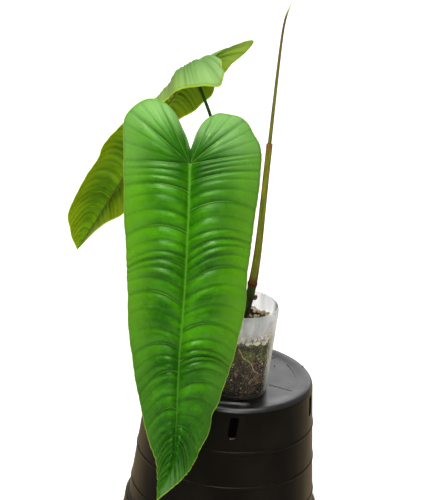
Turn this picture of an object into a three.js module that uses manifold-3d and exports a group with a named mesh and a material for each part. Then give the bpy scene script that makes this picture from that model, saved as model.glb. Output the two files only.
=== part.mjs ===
// A philodendron in a clear starter pot that stands on an upturned nursery pot.
// Millimetres, +Z up. The group is moved at the end so that its bounding box is
// centred on X = Y = 0 and its lowest point is at Z = 0.
import * as THREE from "three";
import { mergeVertices } from "three/addons/utils/BufferGeometryUtils.js";
import Module from "manifold-3d";

const wasm = await Module();
wasm.setup();

// ---- clearances -------------------------------------------------------------
const REST_GAP = 0.3; // between pieces that rest on or touch each other
const SOCKET_GAP = 0.35; // all round a piece that sits in a hole

// ---- upturned nursery pot used as the display stand ---------------------------
const STAND_HEIGHT = 166;
const STAND_TOP_RADIUS = 84.8;
const STAND_TAPER_DEG = 5.3;
const STAND_WALL = 2.2;
const STAND_FILLET = 5;
const STAND_COLLAR_HEIGHT = 24;
const STAND_COLLAR_STEP = 3.4;
const STAND_RING_PROUD = 0.7;
const STAND_RING_HEIGHT = 3;
const STAND_RING_LEVELS = [0.723, 0.491, 0.256]; // shares of the stand's height
const FOOT_RING_WIDTH = 10;
const FOOT_RING_HEIGHT = 1.2;
const DRAIN_SLOTS = 5;
const DRAIN_SLOT_WIDTH = 9;
const DRAIN_SLOT_HEIGHT = 21;
const DRAIN_SLOT_DEPTH_BELOW_TOP = 7.5;
const DRAIN_SLOT_FIRST_DEG = -86.5;
const STAND_AXIS = new THREE.Vector2(-3.5, 27);

// ---- clear pot ----------------------------------------------------------------
const POT_HEIGHT = 93;
const POT_RIM_RADIUS = 38;
const POT_BASE_RADIUS = 33.4;
const POT_WALL = 1.2;
const POT_LIP_HEIGHT = 5;
const POT_LIP_INSET = 1;
const POT_DRAIN_HOLES = 5;
const POT_DRAIN_RADIUS = 3;
const HEADSPACE = 19; // from the rim down to the growing mix
const MIX_TO_WALL = 2.4; // leaves room for the roots that run down the wall
const MIX_DOME = 1.5;

// ---- the growing mix's loose pieces ---------------------------------------------
const PUMICE_COUNT = 12;
const PUMICE_SIZE = 4.6;
const BARK_COUNT = 8;
const BARK_SIZE = 6;
const ROOT_DIAMETER = 1.3;

// ---- the shoot: stem, sheath and rolled new leaf follow one curve ----------------
const SHOOT_LENGTH = 352;
const STEM_LENGTH = 62;
const STEM_DEPTH = 22; // below the surface of the mix
const STEM_DIAMETER = 9;
const SHEATH_LENGTH = 148;
const SHEATH_BASE_DIAMETER = 8.6;
const SHEATH_TOP_DIAMETER = 5.6;
const SPIKE_SOCKET = 14;
const SPIKE_BASE_DIAMETER = 3.9;
const SPIKE_TIP_DIAMETER = 1.2;
const BUD_DIAMETER = 4;

// ---- leaves ---------------------------------------------------------------------
const FRONT_LEAF_DROP = 338; // junction to tip, vertical
const FRONT_LEAF_WIDTH = 132;
const BACK_LEAF_DROP = 223;
const BACK_LEAF_SPREAD = 1; // sideways share of its drawn shape
const LEAF_THICKNESS = 0.9;
const MIDRIB_DIAMETER = 3;
const RIB_HEIGHT = 1.6; // how far the blade quilts up between two side veins
const PETIOLE_DIAMETER = 4;
const FRONT_JUNCTION_HEIGHT = 184; // above the mix
const BACK_JUNCTION_HEIGHT = 244.5;

const MIX_TOP = STAND_HEIGHT + REST_GAP + POT_HEIGHT - HEADSPACE;

// ---- shared helpers ---------------------------------------------------------------
const rad = THREE.MathUtils.degToRad;

// A value that looks scattered but is the same every time.
function scatter(n, channel) {
  const x = Math.sin(n * 12.9898 + channel * 78.233) * 43758.5453;
  return x - Math.floor(x);
}

function geometryFrom(points, triangles) {
  const positions = [];
  for (const corner of triangles.flat()) {
    positions.push(points[corner].x, points[corner].y, points[corner].z);
  }
  const geometry = new THREE.BufferGeometry();
  geometry.setAttribute("position", new THREE.Float32BufferAttribute(positions, 3));
  return geometry;
}

// A closed skin over a stack of equal loops, with one point closing each end.
function loft(loops, startPoint, endPoint) {
  const count = loops[0].length;
  const points = [startPoint, ...loops.flat(), endPoint];
  const last = points.length - 1;
  const at = (row, k) => 1 + row * count + (k % count);
  const triangles = [];
  for (let k = 0; k < count; k++) {
    triangles.push([0, at(0, k + 1), at(0, k)]);
    triangles.push([last, at(loops.length - 1, k), at(loops.length - 1, k + 1)]);
    for (let row = 0; row + 1 < loops.length; row++) {
      triangles.push([at(row, k), at(row, k + 1), at(row + 1, k + 1)]);
      triangles.push([at(row, k), at(row + 1, k + 1), at(row + 1, k)]);
    }
  }
  return geometryFrom(points, triangles);
}

// Turns a profile of [radius, height] round the Z axis; it starts and ends on the axis.
function revolve(profile, sides) {
  const loops = profile.slice(1, -1).map(([r, z]) => {
    const loop = [];
    for (let k = 0; k < sides; k++) {
      const a = (2 * Math.PI * k) / sides;
      loop.push(new THREE.Vector3(r * Math.cos(a), r * Math.sin(a), z));
    }
    return loop;
  });
  const start = new THREE.Vector3(0, 0, profile[0][1]);
  const end = new THREE.Vector3(0, 0, profile[profile.length - 1][1]);
  return loft(loops, start, end);
}

// A round rod along a curve; radiusAt takes the share of the way from start to end.
function rod(curve, steps, sides, radiusAt, from = 0, to = 1) {
  const loops = [];
  let normal = new THREE.Vector3(1, 0, 0);
  for (let i = 0; i <= steps; i++) {
    const share = i / steps;
    const u = from + (to - from) * share;
    const centre = curve.getPointAt(u);
    const tangent = curve.getTangentAt(u);
    normal = normal.clone().addScaledVector(tangent, -normal.dot(tangent)).normalize();
    const side = new THREE.Vector3().crossVectors(tangent, normal);
    const loop = [];
    for (let k = 0; k < sides; k++) {
      const a = (2 * Math.PI * k) / sides;
      const reach = radiusAt(share);
      loop.push(
        centre
          .clone()
          .addScaledVector(normal, reach * Math.cos(a))
          .addScaledVector(side, reach * Math.sin(a)),
      );
    }
    loops.push(loop);
  }
  return loft(loops, curve.getPointAt(from), curve.getPointAt(to));
}

function solidOf(geometry) {
  const merged = mergeVertices(geometry, 1e-4);
  return new wasm.Manifold(
    new wasm.Mesh({
      numProp: 3,
      vertProperties: merged.attributes.position.array,
      triVerts: new Uint32Array(merged.index.array),
    }),
  );
}

function geometryOf(solid) {
  const mesh = solid.getMesh();
  const points = [];
  for (let i = 0; i < mesh.numVert; i++) {
    points.push(new THREE.Vector3().fromArray(mesh.vertProperties, i * mesh.numProp));
  }
  const triangles = [];
  for (let t = 0; t < mesh.numTri; t++) {
    triangles.push(Array.from(mesh.triVerts.subarray(3 * t, 3 * t + 3)));
  }
  return geometryFrom(points, triangles);
}

const group = new THREE.Group();

function add(name, geometry, colour, roughness) {
  const material = new THREE.MeshStandardMaterial({ color: colour, roughness, metalness: 0 });
  const mesh = new THREE.Mesh(geometry, material);
  mesh.name = name;
  mesh.geometry.computeVertexNormals();
  group.add(mesh);
  return mesh;
}

// ---- display stand ------------------------------------------------------------------
// Outer radius of the stand's wall at a height above the floor.
const taper = Math.tan(rad(STAND_TAPER_DEG));
const standRadius = (z) => STAND_TOP_RADIUS + (STAND_HEIGHT - z) * taper;

function standProfile() {
  const top = STAND_HEIGHT;
  const inside = top - STAND_WALL;
  const collarTop = STAND_COLLAR_HEIGHT;
  const inner = (z) => standRadius(z) - STAND_WALL;
  const profile = [
    [0, inside],
    [inner(inside) - STAND_FILLET / 2, inside],
    [inner(inside - STAND_FILLET / 2), inside - STAND_FILLET / 2],
    [inner(collarTop - STAND_WALL), collarTop - STAND_WALL],
    [inner(collarTop) + STAND_COLLAR_STEP, collarTop - 2 * STAND_WALL],
    [inner(0) + STAND_COLLAR_STEP, 0],
    [standRadius(0) + STAND_COLLAR_STEP, 0],
    [standRadius(collarTop) + STAND_COLLAR_STEP, collarTop - STAND_WALL],
    [standRadius(collarTop) + STAND_COLLAR_STEP - 1, collarTop],
    [standRadius(collarTop), collarTop],
  ];
  for (const share of [...STAND_RING_LEVELS].reverse()) {
    const z = share * STAND_HEIGHT;
    profile.push([standRadius(z - STAND_RING_HEIGHT / 2), z - STAND_RING_HEIGHT / 2]);
    profile.push([standRadius(z) + STAND_RING_PROUD, z]);
    profile.push([standRadius(z + STAND_RING_HEIGHT / 2), z + STAND_RING_HEIGHT / 2]);
  }
  const rimTop = top + FOOT_RING_HEIGHT;
  const filletBase = top - STAND_FILLET;
  for (let i = 0; i <= 5; i++) {
    const a = (i / 5) * (Math.PI / 2);
    const r = standRadius(filletBase) - STAND_FILLET * (1 - Math.cos(a));
    profile.push([r, filletBase + (STAND_FILLET + FOOT_RING_HEIGHT) * Math.sin(a)]);
  }
  const ringInside = standRadius(filletBase) - STAND_FILLET - FOOT_RING_WIDTH;
  profile.push([ringInside + 1, rimTop]);
  profile.push([ringInside, top]);
  profile.push([0, top]);
  return profile;
}

function buildStand() {
  let stand = solidOf(revolve(standProfile(), 72));
  for (let i = 0; i < DRAIN_SLOTS; i++) {
    const angle = DRAIN_SLOT_FIRST_DEG + (360 / DRAIN_SLOTS) * i;
    const reach = 6 * STAND_WALL;
    const cutter = wasm.Manifold.cube([reach, DRAIN_SLOT_WIDTH, DRAIN_SLOT_HEIGHT], true)
      .translate([
        standRadius(STAND_HEIGHT),
        0,
        STAND_HEIGHT - DRAIN_SLOT_DEPTH_BELOW_TOP - DRAIN_SLOT_HEIGHT / 2,
      ])
      .rotate([0, 0, angle]);
    stand = stand.subtract(cutter);
  }
  const geometry = geometryOf(stand);
  geometry.translate(STAND_AXIS.x, STAND_AXIS.y, 0);
  add("display_stand", geometry, 0x17181a, 0.42);
}

// ---- clear pot ------------------------------------------------------------------------
const POT_FLOOR_Z = STAND_HEIGHT + REST_GAP;
const potOuter = (h) =>
  POT_BASE_RADIUS + ((POT_RIM_RADIUS - POT_BASE_RADIUS) * h) / (POT_HEIGHT - POT_LIP_HEIGHT);
const potInner = (h) => potOuter(h) - POT_WALL;

function buildPot() {
  const lipStart = POT_HEIGHT - POT_LIP_HEIGHT;
  const profile = [
    [0, 0],
    [POT_BASE_RADIUS - 1.5, 0],
    [POT_BASE_RADIUS, 1.5],
    [potOuter(lipStart), lipStart],
    [potOuter(lipStart) - POT_LIP_INSET, POT_HEIGHT],
    [potInner(lipStart) - POT_LIP_INSET, POT_HEIGHT],
    [potInner(lipStart), lipStart],
    [potInner(POT_WALL), POT_WALL],
    [0, POT_WALL],
  ];
  let pot = solidOf(revolve(profile, 56));
  for (let i = 0; i < POT_DRAIN_HOLES; i++) {
    const hole = wasm.Manifold.cylinder(4 * POT_WALL, POT_DRAIN_RADIUS, POT_DRAIN_RADIUS, 16, true)
      .translate([POT_BASE_RADIUS * 0.6, 0, POT_WALL / 2])
      .rotate([0, 0, (360 / POT_DRAIN_HOLES) * i]);
    pot = pot.subtract(hole);
  }
  const geometry = geometryOf(pot);
  geometry.translate(0, 0, POT_FLOOR_Z);
  add("clear_pot", geometry, 0xe6e9e2, 0.3);
}

// ---- the shoot's curve ------------------------------------------------------------------
// Starts in the mix and leans a little to the right and away; drawn at its own length.
const SHOOT_SHAPE = [
  [0, -2, 0],
  [2.5, 0, 26],
  [7.5, 3, 48],
  [11.5, 6, 96],
  [13, 9, 190],
  [15, 13, 290],
  [17, 14, 330],
  [22, 15, 350],
];
const SHOOT_DRAWN = SHOOT_SHAPE[SHOOT_SHAPE.length - 1][2];
const shoot = new THREE.CatmullRomCurve3(
  SHOOT_SHAPE.map(([x, y, z]) => {
    const scale = SHOOT_LENGTH / SHOOT_DRAWN;
    return new THREE.Vector3(x, y, MIX_TOP - STEM_DEPTH + z * scale);
  }),
);
const shootLength = shoot.getLength();

// ---- growing mix -------------------------------------------------------------------------
const MIX_BASE = POT_WALL + REST_GAP;
const mixRadius = (h) => potInner(h) - MIX_TO_WALL;

function buildMix() {
  const top = MIX_TOP - POT_FLOOR_Z;
  const profile = [
    [0, MIX_BASE],
    [mixRadius(MIX_BASE) - 2, MIX_BASE],
    [mixRadius(MIX_BASE + 2), MIX_BASE + 2],
    [mixRadius(top - 3), top - 3],
    [mixRadius(top - 1) - 1.5, top - 1],
    [mixRadius(top) * 0.6, top + MIX_DOME * 0.3],
    [0, top + MIX_DOME * 0.5],
  ];
  const geometry = revolve(profile, 48);
  geometry.translate(0, 0, POT_FLOOR_Z);
  const share = (STEM_DEPTH + 8) / shootLength;
  const socket = rod(shoot, 8, 16, () => STEM_DIAMETER / 2 + SOCKET_GAP, 0, share);
  const solid = solidOf(geometry).subtract(solidOf(socket));
  add("growing_mix", geometryOf(solid), 0x4a3222, 0.95);
}

// Height of the mix's surface at a distance from the pot's axis.
function mixSurface(r) {
  const share = Math.min(1, r / mixRadius(MIX_TOP - POT_FLOOR_Z));
  return MIX_TOP + MIX_DOME * 0.5 - share * share * MIX_DOME;
}

function chip(size, squash, seed) {
  const geometry = new THREE.IcosahedronGeometry(size / 2, 0);
  const merged = mergeVertices(geometry.deleteAttribute("normal").deleteAttribute("uv"), 1e-3);
  const position = merged.getAttribute("position");
  for (let i = 0; i < position.count; i++) {
    const k = 0.82 + 0.36 * scatter(i + 1, seed);
    position.setXYZ(i, position.getX(i) * k, position.getY(i) * k, position.getZ(i) * k);
  }
  merged.scale(1, 0.85, squash);
  merged.rotateX(0.5 * (scatter(seed, 3) - 0.5));
  merged.rotateZ(6.28 * scatter(seed, 4));
  return merged;
}

// Loose pieces lie in a sunflower spiral, so that none of them meet.
function buildChips() {
  const total = PUMICE_COUNT + BARK_COUNT;
  const reach = mixRadius(MIX_TOP - POT_FLOOR_Z) - BARK_SIZE * 0.75;
  const inner = 0.45 * reach;
  let pumice = 0;
  for (let i = 0; i < total; i++) {
    const share = (i + 0.5) / total;
    const r = Math.sqrt(inner * inner + (reach * reach - inner * inner) * share);
    const a = i * 2.39996;
    const isBark = (i * BARK_COUNT) % total < BARK_COUNT;
    const size = (isBark ? BARK_SIZE : PUMICE_SIZE) * (0.85 + 0.3 * scatter(i, 7));
    const geometry = chip(size, isBark ? 0.4 : 0.8, i + 1);
    geometry.computeBoundingBox();
    const lift = mixSurface(r - size / 2) + REST_GAP - geometry.boundingBox.min.z;
    geometry.translate(r * Math.cos(a), r * Math.sin(a), lift);
    if (!isBark) pumice += 1;
    const number = String(isBark ? i + 1 - pumice : pumice).padStart(2, "0");
    const name = isBark ? `bark_${number}` : `pumice_${number}`;
    add(name, geometry, isBark ? 0x2e2119 : 0xe3d6bd, 0.95);
  }
}

// Roots that have reached the wall and run down it: [start angle, turn, top, bottom].
const WALL_ROOTS = [
  [-28, 8, 0.78, 0.16],
  [-92, 46, 0.62, 0.28],
  [165, -30, 0.7, 0.2],
  [70, 24, 0.66, 0.12],
];

function buildRoots() {
  WALL_ROOTS.forEach(([start, turn, topShare, lowShare], index) => {
    const points = [];
    for (let i = 0; i <= 6; i++) {
      const h = POT_HEIGHT * (topShare + ((lowShare - topShare) * i) / 6);
      const a = rad(start + (turn * i) / 6 + 3 * Math.sin(2.1 * i + index));
      const r = mixRadius(h) + MIX_TO_WALL / 2;
      points.push(new THREE.Vector3(r * Math.cos(a), r * Math.sin(a), POT_FLOOR_Z + h));
    }
    const curve = new THREE.CatmullRomCurve3(points);
    const radius = (t) => (ROOT_DIAMETER / 2) * (1 - 0.35 * t);
    add(`wall_root_${index + 1}`, rod(curve, 18, 8, radius), 0xb08a55, 0.8);
  });
}

// ---- stem, sheath, new leaf -----------------------------------------------------------------
const stemEnd = STEM_LENGTH / shootLength;
const gapShare = REST_GAP / shootLength;
const sheathEnd = (STEM_LENGTH + SHEATH_LENGTH) / shootLength;
const spikeStart = sheathEnd - SPIKE_SOCKET / shootLength;

function buildShoot() {
  const stemRadius = (t) => (STEM_DIAMETER / 2) * (1 + 0.1 * Math.max(0, t - 0.75) * 4);
  add("stem", rod(shoot, 14, 18, stemRadius, 0, stemEnd), 0x24361f, 0.5);

  const sheathRadius = (t) => {
    const base = SHEATH_BASE_DIAMETER / 2;
    const top = SHEATH_TOP_DIAMETER / 2;
    return top + (base - top) * Math.pow(1 - t, 2.6);
  };
  const outer = rod(shoot, 24, 18, sheathRadius, stemEnd + gapShare, sheathEnd);
  const bore = rod(
    shoot,
    6,
    18,
    () => SPIKE_BASE_DIAMETER / 2 + SOCKET_GAP,
    spikeStart - gapShare,
    sheathEnd + 5 / shootLength,
  );
  add("leaf_sheath", geometryOf(solidOf(outer).subtract(solidOf(bore))), 0x6f7a35, 0.5);

  const spikeRadius = (t) => {
    const base = SPIKE_BASE_DIAMETER / 2;
    const tip = SPIKE_TIP_DIAMETER / 2;
    return tip + (base - tip) * Math.pow(1 - t, 0.8);
  };
  add("new_leaf_spike", rod(shoot, 32, 12, spikeRadius, spikeStart, 1), 0x7a7a3a, 0.45);

  const budAt = shoot.getPointAt(stemEnd * 0.78);
  const bud = new THREE.SphereGeometry(BUD_DIAMETER / 2, 12, 8);
  bud.deleteAttribute("uv");
  bud.scale(0.8, 0.8, 1.5);
  const out = STEM_DIAMETER / 2 + BUD_DIAMETER * 0.4 + REST_GAP + 0.2;
  bud.translate(budAt.x + out, budAt.y - 1, budAt.z);
  add("side_bud", bud, 0x7d3a24, 0.5);
}

// ---- leaves ------------------------------------------------------------------------------------
// Each leaf is drawn about the point where its petiole meets the blade. A margin row is
// [x, y, z, bulge]: a point on the margin, from the notch between the lobes round to the
// tip, and how far the blade stands out half way between that point and the midrib.
const FRONT_LEAF = {
  midrib: [
    [0, 0, 0],
    [3, -20, -53],
    [5, -36, -125],
    [5, -43, -190],
    [7, -47, -250],
    [7, -46, -295],
    [-6, -44, -338],
  ],
  left: [
    [0, 2, 3, 0],
    [-6, 11, 23, 3],
    [-24, 27, 46, 6],
    [-45, 32, 51, 9],
    [-65, 26, 33, 10],
    [-64, 13, -6, 10],
    [-59, -2, -52, 9],
    [-53, -15, -100, 9],
    [-48, -23, -152, 8],
    [-38, -28, -208, 7],
    [-23, -32, -268, 5],
    [-8, -38, -307, 3],
    [-6, -44, -341, 0],
  ],
  right: [
    [0, 2, 3, 0],
    [4, 12, 27, 3],
    [12, 24, 38, 6],
    [27, 30, 43, 9],
    [53, 28, 34, 10],
    [67, 18, 11, 10],
    [66, 0, -36, 9],
    [64, -14, -87, 9],
    [63, -23, -140, 8],
    [55, -28, -194, 7],
    [42, -32, -250, 5],
    [23, -38, -307, 3],
    [-6, -44, -341, 0],
  ],
  bulgeTowards: [0, -0.92, 0.39],
  veinRise: 0.1,
  lobeRow: 5,
  drawnDrop: 338,
  drawnWidth: 132,
};

// The back leaf hangs the other way; its left lobe rolls over towards the front.
const BACK_LEAF = {
  midrib: [
    [0, 0, 0],
    [-14, 6, -23],
    [-41, 21, -81],
    [-61, 32, -124],
    [-84, 48, -173],
    [-107, 64, -223],
  ],
  left: [
    [3, 0, 3, 0],
    [13, 0, 11, 5],
    [26, -6, 16, 10],
    [31, -18, 8, 15],
    [27, -30, -2, 19],
    [8, -34, -4, 17],
    [-13, -30, -11, 13],
    [-26, -14, -29, 9],
    [-50, 4, -47, 7],
    [-75, 22, -79, 6],
    [-97, 38, -122, 4],
    [-117, 52, -174, 3],
    [-117, 59, -204, 2],
    [-109, 65, -226, 0],
  ],
  right: [
    [3, 0, 3, 0],
    [17, 12, 12, 2],
    [33, 24, 21, 3],
    [56, 35, 27, 4],
    [45, 28, 10, 5],
    [28, 17, -9, 6],
    [17, 15, -29, 6],
    [2, 19, -49, 6],
    [-21, 28, -70, 6],
    [-38, 36, -103, 5],
    [-49, 44, -142, 4],
    [-63, 51, -175, 3],
    [-86, 57, -196, 2],
    [-109, 65, -226, 0],
  ],
  bulgeTowards: [-0.3, 0.5, 0.81],
  veinRise: 0.06,
  lobeRow: 5,
  drawnDrop: 223,
  drawnWidth: 1,
};

const LOBE_VEINS = 4; // side veins that fan out from the junction, each side
const SIDE_VEINS = 11; // side veins along the midrib, each side
const STEPS_PER_VEIN = 3;
const ACROSS = [0, 0.035, 0.12, 0.3, 0.55, 0.8, 1]; // from midrib to margin

// The thin sheet of one leaf: its points, faces and how close each point is to the midrib.
function leafSheet(leaf, origin, scale) {
  const place = ([x, y, z]) =>
    new THREE.Vector3(x * scale.x, y * scale.y, z * scale.z).add(origin);
  const towards = new THREE.Vector3(...leaf.bulgeTowards);
  const midrib = new THREE.CatmullRomCurve3(leaf.midrib.map(place), false, "catmullrom");
  const rows = leaf.left.length - 1;
  const veins = LOBE_VEINS + SIDE_VEINS;
  const steps = veins * STEPS_PER_VEIN;
  const points = [];
  const nearMidrib = [];
  const triangles = [];
  const known = new Map();
  const index = (point, near) => {
    const key = point.toArray().map((v) => Math.round(v * 1e3)).join();
    if (!known.has(key)) {
      known.set(key, points.length);
      points.push(point);
      nearMidrib.push(near);
    }
    return known.get(key);
  };
  for (const side of ["left", "right"]) {
    const margin = new THREE.CatmullRomCurve3(leaf[side].map(place), false, "catmullrom");
    const bulge = new THREE.SplineCurve(leaf[side].map((row, i) => new THREE.Vector2(i, row[3])));
    const grid = [];
    for (let i = 0; i <= steps; i++) {
      const vein = i / STEPS_PER_VEIN;
      const row =
        vein < LOBE_VEINS
          ? (vein / LOBE_VEINS) * leaf.lobeRow
          : leaf.lobeRow + ((vein - LOBE_VEINS) / SIDE_VEINS) * (rows - leaf.lobeRow);
      const down = Math.max(0, (vein - LOBE_VEINS) / SIDE_VEINS) * 0.985;
      const start = midrib.getPoint(down);
      const end = margin.getPoint(row / rows);
      const out = bulge.getPoint(row / rows).y;
      const reach = start.distanceTo(end);
      const rise = i === steps || i === 0 ? 0 : leaf.veinRise * reach * Math.min(1, down * 6);
      const crest = start.clone().add(end).multiplyScalar(0.5).addScaledVector(towards, out);
      crest.z += rise;
      const control = crest.clone().multiplyScalar(2);
      control.addScaledVector(start, -0.5).addScaledVector(end, -0.5);
      const arc = new THREE.QuadraticBezierCurve3(start, control, end);
      const ripple = RIB_HEIGHT * Math.sin(Math.PI * vein) ** 2;
      const line = ACROSS.map((t) => {
        const swell = Math.min(1, (t * reach) / 12) * (1 - 0.6 * t);
        return index(arc.getPoint(t).addScaledVector(towards, ripple * swell), 1 - t * reach / 4);
      });
      grid.push(line);
    }
    for (let i = 0; i < steps; i++) {
      for (let j = 0; j + 1 < ACROSS.length; j++) {
        const [a, b] = [grid[i][j], grid[i][j + 1]];
        const [c, d] = [grid[i + 1][j + 1], grid[i + 1][j]];
        const two = [
          [a, b, c],
          [a, c, d],
        ];
        for (const face of two) {
          if (side === "right") face.reverse();
          if (new Set(face).size === 3) triangles.push(face);
        }
      }
    }
  }
  return { points, triangles, nearMidrib };
}

// Gives a sheet its thickness, and the midrib's ridge on the underside.
function thicken({ points, triangles, nearMidrib }, topSign) {
  const normals = points.map(() => new THREE.Vector3());
  const edges = new Map();
  for (const [a, b, c] of triangles) {
    const ab = points[b].clone().sub(points[a]);
    const ac = points[c].clone().sub(points[a]);
    const area = ab.cross(ac);
    for (const corner of [a, b, c]) normals[corner].add(area);
    for (const [p, q] of [
      [a, b],
      [b, c],
      [c, a],
    ]) {
      edges.set(`${p},${q}`, [p, q]);
    }
  }
  const ridge = nearMidrib.map((near) => MIDRIB_DIAMETER * 0.5 * Math.max(0, near));
  const half = LEAF_THICKNESS / 2;
  const above = (i) => half + (topSign > 0 ? 0 : ridge[i]);
  const below = (i) => half + (topSign > 0 ? ridge[i] : 0);
  const unit = normals.map((n) => n.normalize());
  const top = points.map((p, i) => p.clone().addScaledVector(unit[i], above(i)));
  const bottom = points.map((p, i) => p.clone().addScaledVector(unit[i], -below(i)));
  const shift = points.length;
  const faces = [...triangles];
  for (const [a, b, c] of triangles) faces.push([a + shift, c + shift, b + shift]);
  for (const [p, q] of edges.values()) {
    if (edges.has(`${q},${p}`)) continue;
    faces.push([q, p, p + shift]);
    faces.push([q, p + shift, q + shift]);
  }
  return geometryFrom([...top, ...bottom], faces);
}

// Where each petiole leaves the stem, as a share of the shoot, and on which side of it.
const FRONT_NODE = { share: 0.115, out: [-0.7, -0.71] };
const BACK_NODE = { share: 0.14, out: [-0.94, 0.34] };

function petiole(name, node, bends, end) {
  const base = shoot.getPointAt(node.share);
  const off = STEM_DIAMETER * 0.55 + PETIOLE_DIAMETER * 0.6 + REST_GAP + 0.5;
  const start = base.clone().add(new THREE.Vector3(node.out[0] * off, node.out[1] * off, 0));
  const rise = end.clone().sub(start);
  const points = bends.map(([x, y, z]) => {
    return start.clone().add(new THREE.Vector3(x * rise.x, y * rise.y, z * rise.z));
  });
  const curve = new THREE.CatmullRomCurve3([start, ...points, end]);
  const radius = (t) => (PETIOLE_DIAMETER / 2) * (1.2 - 0.4 * t);
  add(name, rod(curve, 24, 14, radius), 0x2f5a1e, 0.45);
}

function buildLeaves() {
  const frontAt = new THREE.Vector3(-62, -60, MIX_TOP + FRONT_JUNCTION_HEIGHT);
  const frontScale = new THREE.Vector3(
    FRONT_LEAF_WIDTH / FRONT_LEAF.drawnWidth,
    1,
    FRONT_LEAF_DROP / FRONT_LEAF.drawnDrop,
  );
  add("front_leaf", thicken(leafSheet(FRONT_LEAF, frontAt, frontScale), 1), 0x3f9a1e, 0.35);

  const backAt = new THREE.Vector3(-68, 40, MIX_TOP + BACK_JUNCTION_HEIGHT);
  const backScale = new THREE.Vector3(BACK_LEAF_SPREAD, 1, BACK_LEAF_DROP / BACK_LEAF.drawnDrop);
  add("back_leaf", thicken(leafSheet(BACK_LEAF, backAt, backScale), -1), 0x74a51c, 0.4);

  const clear = PETIOLE_DIAMETER / 2 + MIDRIB_DIAMETER / 2 + LEAF_THICKNESS;
  const frontEnd = frontAt.clone().add(new THREE.Vector3(1, 1, -0.7).multiplyScalar(clear));
  petiole("front_petiole", FRONT_NODE, [[0.3, 0.2, 0.4], [0.7, 0.6, 0.8]], frontEnd);
  const backEnd = backAt.clone().add(new THREE.Vector3(1, -0.7, -1).multiplyScalar(clear));
  petiole("back_petiole", BACK_NODE, [[0.28, 0.4, 0.4], [0.64, 0.75, 0.76]], backEnd);
}

buildStand();
buildPot();
buildMix();
buildChips();
buildRoots();
buildShoot();
buildLeaves();

group.updateMatrixWorld(true);
const box = new THREE.Box3().setFromObject(group);
const middle = box.getCenter(new THREE.Vector3());
group.position.set(-middle.x, -middle.y, -box.min.z);

export default group;
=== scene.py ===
import math

import bpy
import numpy as np
from mathutils import Matrix, Vector


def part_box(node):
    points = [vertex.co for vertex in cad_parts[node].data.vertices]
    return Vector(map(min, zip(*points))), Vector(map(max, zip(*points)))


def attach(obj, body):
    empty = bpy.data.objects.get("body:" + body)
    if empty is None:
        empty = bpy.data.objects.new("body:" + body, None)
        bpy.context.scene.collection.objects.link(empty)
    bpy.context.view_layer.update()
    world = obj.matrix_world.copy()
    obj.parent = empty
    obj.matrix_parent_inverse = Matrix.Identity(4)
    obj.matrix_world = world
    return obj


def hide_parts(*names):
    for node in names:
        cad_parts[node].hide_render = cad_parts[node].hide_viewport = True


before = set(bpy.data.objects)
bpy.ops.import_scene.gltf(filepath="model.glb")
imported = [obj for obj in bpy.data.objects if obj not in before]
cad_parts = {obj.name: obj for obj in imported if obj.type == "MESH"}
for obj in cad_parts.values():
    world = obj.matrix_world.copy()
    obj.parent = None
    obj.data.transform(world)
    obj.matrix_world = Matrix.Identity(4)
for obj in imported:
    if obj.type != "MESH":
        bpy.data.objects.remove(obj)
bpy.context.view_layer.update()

# The clear pot's axis on the floor is the origin of everything below; lengths are in mm there.
pot_low, pot_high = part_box("clear_pot")
ORIGIN = Vector(((pot_low.x + pot_high.x) / 2, (pot_low.y + pot_high.y) / 2, 0.0))
MM = 0.001
RIM_Z = pot_high.z / MM
POT_BASE_Z = pot_low.z / MM
HEADSPACE = 19.0
MIX_TOP = RIM_Z - HEADSPACE
# Steps of this angle, in radians, spread lumps evenly round a circle.
GOLDEN_ANGLE = 2.39996


# ---- numbers ----
def scatter(n, channel=0.0):
    """A share from 0 to 1 that looks random but never changes."""
    x = math.sin(n * 12.9898 + channel * 78.233) * 43758.5453
    return x - math.floor(x)


def round_angles(sides):
    return [2 * math.pi * k / sides for k in range(sides)]


# ---- meshes ----
def show(obj):
    bpy.context.scene.collection.objects.link(obj)


def make_object(name, points, faces, smooth=True):
    """points are in mm from ORIGIN."""
    mesh = bpy.data.meshes.new(name)
    placed = np.asarray(points, float) * MM + np.array(ORIGIN)
    mesh.from_pydata(placed.tolist(), [], faces)
    mesh.update()
    mesh.polygons.foreach_set("use_smooth", [smooth] * len(mesh.polygons))
    obj = bpy.data.objects.new(name, mesh)
    show(obj)
    return obj


def loft(loops, closed_ends=True):
    """A skin over a stack of equal loops; each end is closed with one point."""
    loops = [np.asarray(loop, float) for loop in loops]
    count = len(loops[0])
    points = np.concatenate(loops)
    faces = []
    for row in range(len(loops) - 1):
        for k in range(count):
            a = row * count + k
            b = row * count + (k + 1) % count
            faces.append((a, b, b + count, a + count))
    if closed_ends:
        start, end = len(points), len(points) + 1
        points = np.concatenate([points, [loops[0].mean(0)], [loops[-1].mean(0)]])
        top = (len(loops) - 1) * count
        for k in range(count):
            faces.append((start, (k + 1) % count, k))
            faces.append((end, top + k, top + (k + 1) % count))
    return points, faces


def revolve(profile, sides, centre=(0.0, 0.0)):
    """Turns [radius, height] round the vertical."""
    return loft([[(centre[0] + r * math.cos(a), centre[1] + r * math.sin(a), z)
                  for a in round_angles(sides)] for r, z in profile])


def spline(controls, share):
    """Catmull-Rom through the controls; share runs from 0 to 1."""
    controls = np.asarray(controls, float)
    last = len(controls) - 1
    place = np.clip(np.asarray(share, float), 0, 1) * last
    i = np.minimum(place.astype(int), last - 1)
    w = (place - i)[..., None]
    p1, p2 = controls[i], controls[i + 1]
    first, final = 2 * controls[0] - controls[1], 2 * controls[-1] - controls[-2]
    padded = np.concatenate([[first], controls, [final]])
    p0, p3 = padded[i], padded[i + 3]
    return 0.5 * (
        2 * p1
        + (p2 - p0) * w
        + (2 * p0 - 5 * p1 + 4 * p2 - p3) * w**2
        + (3 * p1 - p0 - 3 * p2 + p3) * w**3
    )


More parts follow.
